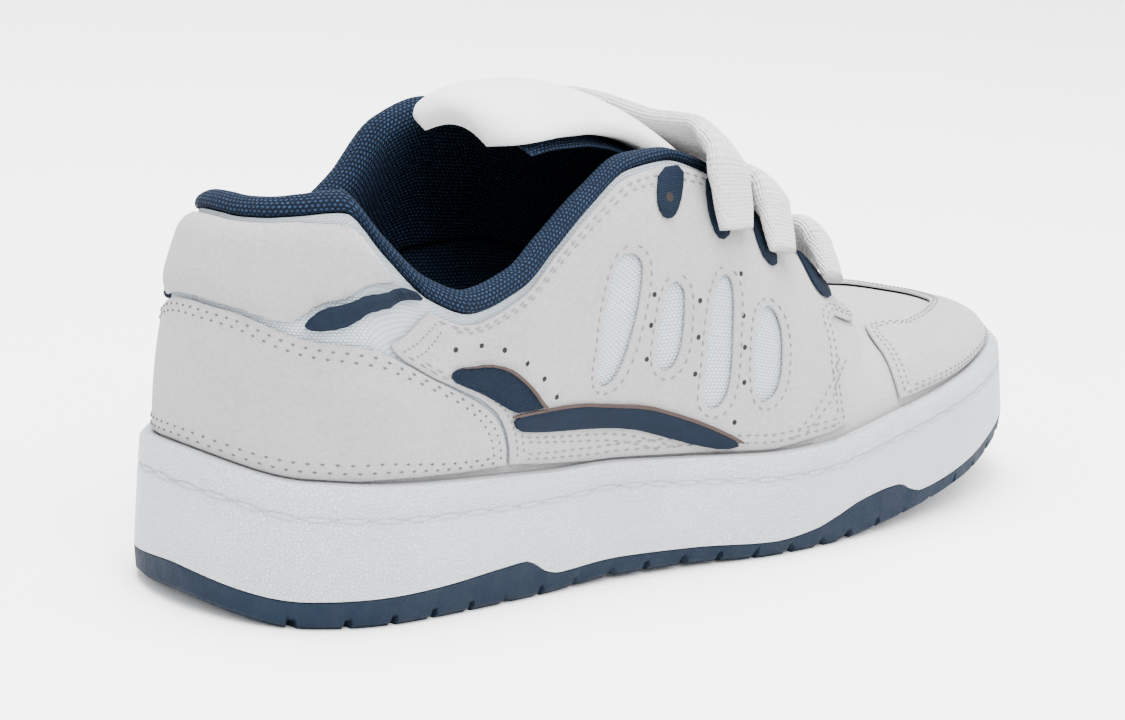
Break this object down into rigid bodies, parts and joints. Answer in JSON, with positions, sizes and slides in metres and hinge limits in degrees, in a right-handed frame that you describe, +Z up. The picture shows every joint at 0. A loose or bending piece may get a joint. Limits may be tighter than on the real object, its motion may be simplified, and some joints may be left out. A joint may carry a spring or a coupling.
{
  "type": "skateboarding shoe",
  "caption": "Low right shoe with a padded collar, suede overlays, mesh side vents, broad lace bars and a cupsole with a stitched groove and ribbed outsole.",
  "frame": {"origin": "on the floor below the middle of the shoe's bounding box", "axes": "+X towards the toe, +Z up, -Y towards the outer side of the right foot"},
  "size_m": [0.301, 0.1084, 0.125],
  "materials": {
    "navy_rubber": "matt",
    "white_rubber": "satin, fine leather grain",
    "suede": "nap",
    "white_leather": "matt",
    "white_mesh": "knit",
    "navy_mesh": "coarse knit",
    "navy_leather": "matt",
    "lace_cloth": "soft woven",
    "tongue_leather": "matt, soft"
  },
  "bodies": {
    "root": {"outsole": "navy_rubber", "midsole": "white_rubber", "insole": "navy_mesh", "upper": "white_mesh", "tongue": "tongue_leather", "tongue_lining": "navy_mesh", "collar_lining": "navy_mesh", "heel_panel": "white_leather", "heel_counter": "suede", "toe_cap": "suede", "quarter_outer": "suede", "heel_piping_outer": "navy_leather", "side_stripe_outer": "navy_leather", "collar_patch_outer": "navy_mesh", "lace_loop_outer_1": "navy_mesh", "lace_loop_outer_2": "navy_mesh", "lace_loop_outer_3": "navy_mesh", "lace_loop_outer_4": "navy_mesh", "quarter_inner": "suede", "heel_piping_inner": "navy_leather", "side_stripe_inner": "navy_leather", "collar_patch_inner": "navy_mesh", "lace_loop_inner_1": "navy_mesh", "lace_loop_inner_2": "navy_mesh", "lace_loop_inner_3": "navy_mesh", "lace_loop_inner_4": "navy_mesh", "lace_bar_1": "lace_cloth", "lace_bar_2": "lace_cloth", "lace_bar_3": "lace_cloth"}
  },
  "joints": []
}
